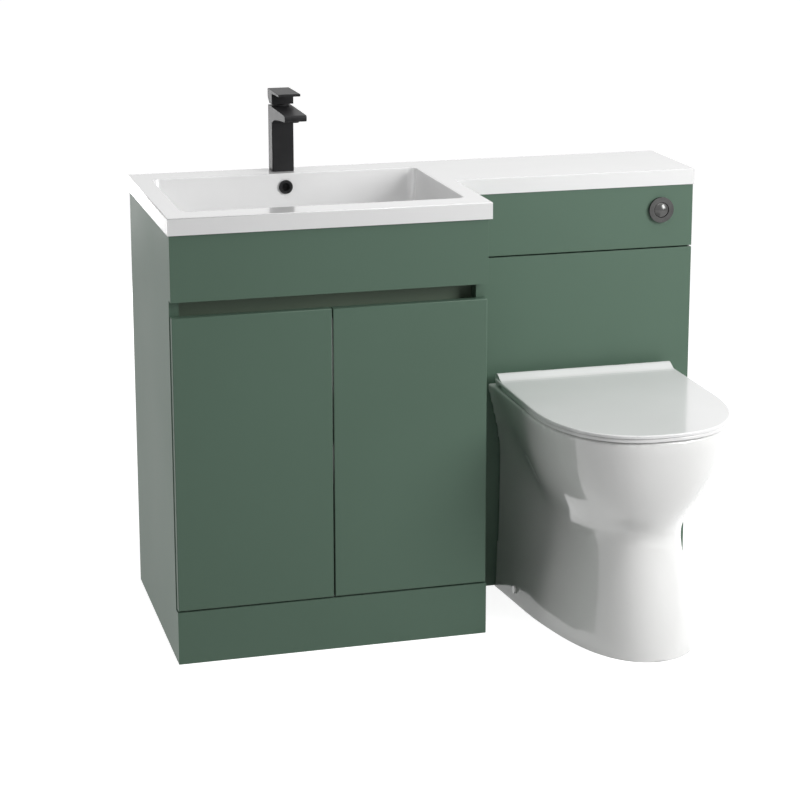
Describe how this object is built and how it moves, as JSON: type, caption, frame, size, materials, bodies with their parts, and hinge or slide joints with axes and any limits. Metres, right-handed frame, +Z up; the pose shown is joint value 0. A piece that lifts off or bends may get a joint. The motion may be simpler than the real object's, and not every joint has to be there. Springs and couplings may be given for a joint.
{
  "type": "combination vanity and toilet unit",
  "caption": "L-shaped bathroom unit: boxed basin and mixer over a two-door cupboard, beside a back-to-wall toilet on a concealed cistern box with push button.",
  "frame": {"origin": "centre of the overall box on the floor", "axes": "+Z up, +Y towards the wall, +X to the toilet side, seen from the front"},
  "size_m": [1.115, 0.7186, 1.014],
  "materials": {
    "green_board": "satin sage green paint on board",
    "board_inside": "pale melamine board",
    "cast_white": "gloss white",
    "vitreous_white": "gloss white glaze",
    "seat_white": "gloss white",
    "black_metal": "matt black powder coat",
    "dark_chrome": "gunmetal",
    "steel": "bright",
    "white_plastic": "matt",
    "black_rubber": "matt",
    "brass_dark": "turned"
  },
  "bodies": {
    "unit": {"vanity_left_side": "green_board", "vanity_right_side": "green_board", "vanity_base": "board_inside", "vanity_shelf": "board_inside", "shelf_pegs": "steel", "vanity_wall_rail": "board_inside", "vanity_low_rail": "board_inside", "vanity_plinth": "green_board", "vanity_fascia": "green_board", "handle_channel": "green_board", "left_hinge_arms": "steel", "right_hinge_arms": "steel", "wc_left_side": "green_board", "wc_right_side": "green_board", "wc_top_rail": "board_inside", "wc_tank_rail": "board_inside", "wc_lower_panel": "green_board", "wc_upper_panel": "green_board", "basin": "cast_white", "overflow_ring": "black_metal", "waste_body": "black_metal", "waste_nut": "brass_dark", "bottle_trap": "white_plastic", "tap_body": "black_metal", "tap_gasket": "black_rubber", "tap_shank": "brass_dark", "tap_back_nut": "brass_dark", "button_collar": "dark_chrome", "button_nut": "white_plastic", "cistern_tank": "white_plastic", "cistern_lid": "white_plastic", "flush_valve": "white_plastic", "flush_valve_nut": "white_plastic", "fill_valve": "white_plastic", "flush_pipe": "white_plastic", "toilet_pan": "vitreous_white", "seat_hinge_posts": "steel", "seat_hinge_pins": "steel", "pan_brackets": "steel", "pan_screws": "steel", "seat_nuts": "white_plastic"},
    "left_door_leaf": {"left_door": "green_board", "left_hinge_cups": "steel"},
    "right_door_leaf": {"right_door": "green_board", "right_hinge_cups": "steel"},
    "button": {"flush_button": "dark_chrome"},
    "seat": {"toilet_seat": "seat_white", "seat_buffers": "black_rubber"},
    "lid": {"toilet_lid": "seat_white", "lid_buffers": "black_rubber"},
    "mixer_stem": {"tap_stem": "black_metal", "lever_pin": "steel"},
    "mixer_lever": {"tap_lever": "black_metal"},
    "plug": {"waste_plug": "black_metal"},
    "float": {"fill_float": "white_plastic"}
  },
  "joints": [
    {"name": "left_door_hinge", "type": "hinge", "parent": "unit", "child": "left_door_leaf", "pos_m": [-0.5515, -0.11525, 0.385], "axis": [0, 0, -1], "range_deg": [0, 110]},
    {"name": "right_door_hinge", "type": "hinge", "parent": "unit", "child": "right_door_leaf", "pos_m": [0.0425, -0.11525, 0.385], "axis": [0, 0, 1], "range_deg": [0, 95]},
    {"name": "button_push", "type": "slide", "parent": "unit", "child": "button", "axis": [0, 1, 0], "range_m": [0, 0.006], "stiffness_N_per_m": 800},
    {"name": "seat_lift", "type": "hinge", "parent": "unit", "child": "seat", "pos_m": [0.3175, 0.09725, 0.446], "axis": [-1, 0, 0], "range_deg": [0, 92]},
    {"name": "lid_lift", "type": "hinge", "parent": "seat", "child": "lid", "pos_m": [0.3175, 0.09725, 0.446], "axis": [1, 0, 0], "range_deg": [-92, 0]},
    {"name": "mixer_turn", "type": "hinge", "parent": "unit", "child": "mixer_stem", "pos_m": [-0.2515, 0.33025, 0.985], "axis": [0, 0, 1], "range_deg": [-35, 35]},
    {"name": "lever_lift", "type": "hinge", "parent": "mixer_stem", "child": "mixer_lever", "pos_m": [-0.2515, 0.33025, 0.998], "axis": [-1, 0, 0], "range_deg": [0, 22]},
    {"name": "plug_rise", "type": "slide", "parent": "unit", "child": "plug", "axis": [0, 0, 1], "range_m": [0, 0.008]},
    {"name": "float_rise", "type": "slide", "parent": "unit", "child": "float", "axis": [0, 0, 1], "range_m": [-0.05, 0.02]}
  ]
}
